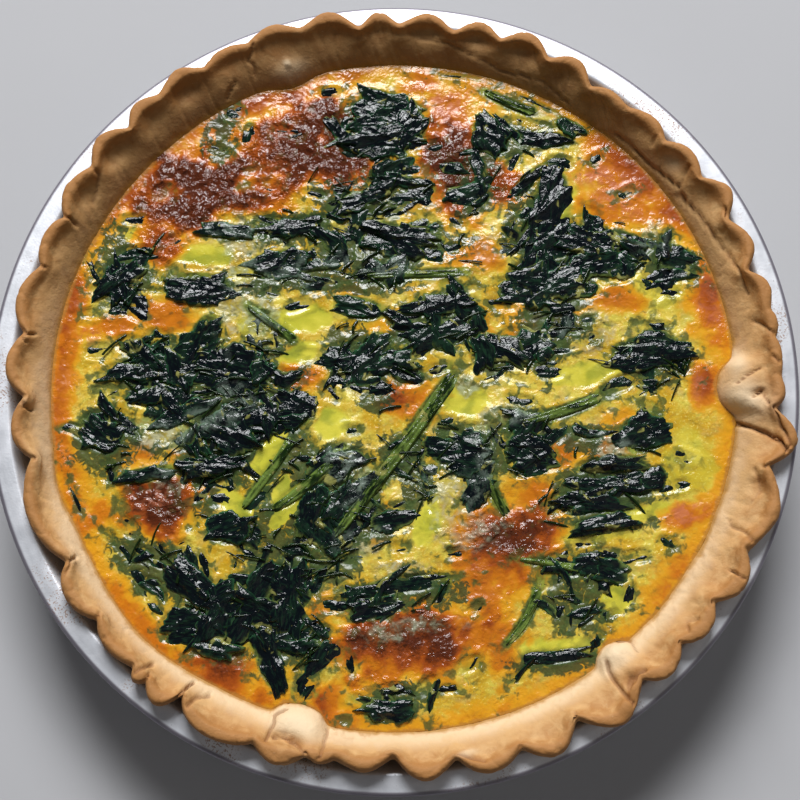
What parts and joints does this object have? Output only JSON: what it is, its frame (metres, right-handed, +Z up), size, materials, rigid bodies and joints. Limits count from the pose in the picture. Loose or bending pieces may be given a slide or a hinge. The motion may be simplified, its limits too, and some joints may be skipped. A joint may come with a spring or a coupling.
{
  "type": "vegetable quiche in a pie tin",
  "caption": "Round baked quiche in its pie tin: a hand-pinched pastry shell with fluted edge, filled with egg custard, browned cheese and spinach.",
  "frame": {"origin": "middle of the tin's underside, where it rests on the table", "axes": "+Z up out of the pie; +X and +Y lie in the table plane, +Y is the side away from the camera in the picture"},
  "size_m": [0.242, 0.242, 0.0393],
  "materials": {
    "tin_sheet": "dull tinplate with fine dark specks and a few rust spots",
    "baked_pastry": "dry floury pastry, browner on its ridges",
    "baked_custard": "glossy baked custard with browned patches",
    "spinach_green": "wet cooked spinach, almost black green",
    "stem_green": "wet cooked spinach stems, olive green"
  },
  "bodies": {
    "root": {"pie_tin": "tin_sheet", "crust": "baked_pastry", "filling": "baked_custard", "spinach_leaf_01": "spinach_green", "spinach_leaf_02": "spinach_green", "spinach_leaf_03": "spinach_green", "spinach_leaf_04": "spinach_green", "spinach_leaf_05": "spinach_green", "spinach_leaf_06": "spinach_green", "spinach_leaf_07": "spinach_green", "spinach_leaf_08": "spinach_green", "spinach_leaf_09": "spinach_green", "spinach_leaf_10": "spinach_green", "spinach_leaf_11": "spinach_green", "spinach_leaf_12": "spinach_green", "spinach_leaf_13": "spinach_green", "spinach_leaf_14": "spinach_green", "spinach_leaf_15": "spinach_green", "spinach_leaf_16": "spinach_green", "spinach_leaf_17": "spinach_green", "spinach_leaf_18": "spinach_green", "spinach_leaf_19": "spinach_green", "spinach_leaf_20": "spinach_green", "spinach_shred_01": "spinach_green", "spinach_shred_02": "spinach_green", "spinach_shred_03": "spinach_green", "spinach_shred_04": "spinach_green", "spinach_shred_05": "spinach_green", "spinach_shred_06": "spinach_green", "spinach_shred_07": "spinach_green", "spinach_shred_08": "spinach_green", "spinach_shred_09": "spinach_green", "spinach_shred_10": "spinach_green", "spinach_shred_11": "spinach_green", "spinach_shred_12": "spinach_green", "spinach_shred_13": "spinach_green", "spinach_shred_14": "spinach_green", "spinach_shred_15": "spinach_green", "spinach_shred_16": "spinach_green", "spinach_shred_17": "spinach_green", "spinach_shred_18": "spinach_green", "spinach_shred_19": "spinach_green", "spinach_shred_20": "spinach_green", "spinach_shred_21": "spinach_green", "spinach_shred_22": "spinach_green", "spinach_shred_23": "spinach_green", "spinach_shred_24": "spinach_green", "spinach_shred_25": "spinach_green", "spinach_shred_26": "spinach_green", "spinach_shred_27": "spinach_green", "spinach_stem_01": "stem_green", "spinach_stem_02": "stem_green", "spinach_stem_03": "stem_green", "spinach_stem_04": "stem_green", "spinach_stem_05": "stem_green", "spinach_stem_06": "stem_green", "spinach_stem_07": "stem_green", "spinach_stem_08": "stem_green", "spinach_stem_09": "stem_green", "spinach_stem_10": "stem_green"}
  },
  "joints": []
}
